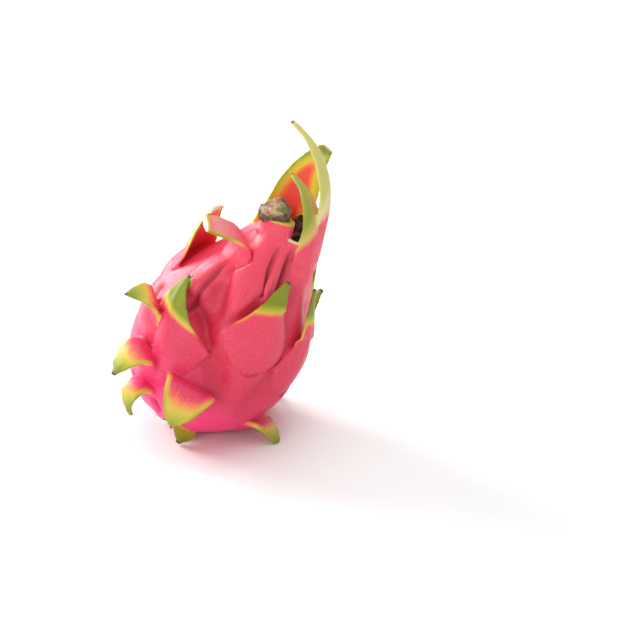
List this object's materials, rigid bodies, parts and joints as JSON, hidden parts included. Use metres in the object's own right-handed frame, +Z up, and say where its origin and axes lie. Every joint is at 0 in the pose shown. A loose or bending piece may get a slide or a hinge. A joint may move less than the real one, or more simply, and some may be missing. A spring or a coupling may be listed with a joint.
{
  "type": "dragon fruit",
  "caption": "Whole pitahaya lying on its side: ovoid fleshy rind with leaf-like bracts along its flank, long curved blades round a dry crown cup, and a cut stalk stub.",
  "frame": {"origin": "centre of the small flat spot on the rind's underside that the fruit rests on", "axes": "+Z up from the table; the fruit's own core line leans 35 degrees from +Z towards +X, crown end up; the longest bracts reach up along +Z; -Y is the side with the shield-like bracts"},
  "size_m": [0.1014, 0.0949, 0.1481],
  "materials": {
    "rind": "waxy pink rind, its bracts turning yellow-green to their tips",
    "dry_flower": "dark brown dried flower tissue, matt and fibrous",
    "cut_end": "pale corky cut face with brown, split bark",
    "stalk": "dry fibrous stalk, cut across"
  },
  "bodies": {
    "root": {"rind_with_bracts": "rind", "flower_cup": "dry_flower", "dry_cut_end": "cut_end", "stalk_stub": "stalk"}
  },
  "joints": []
}
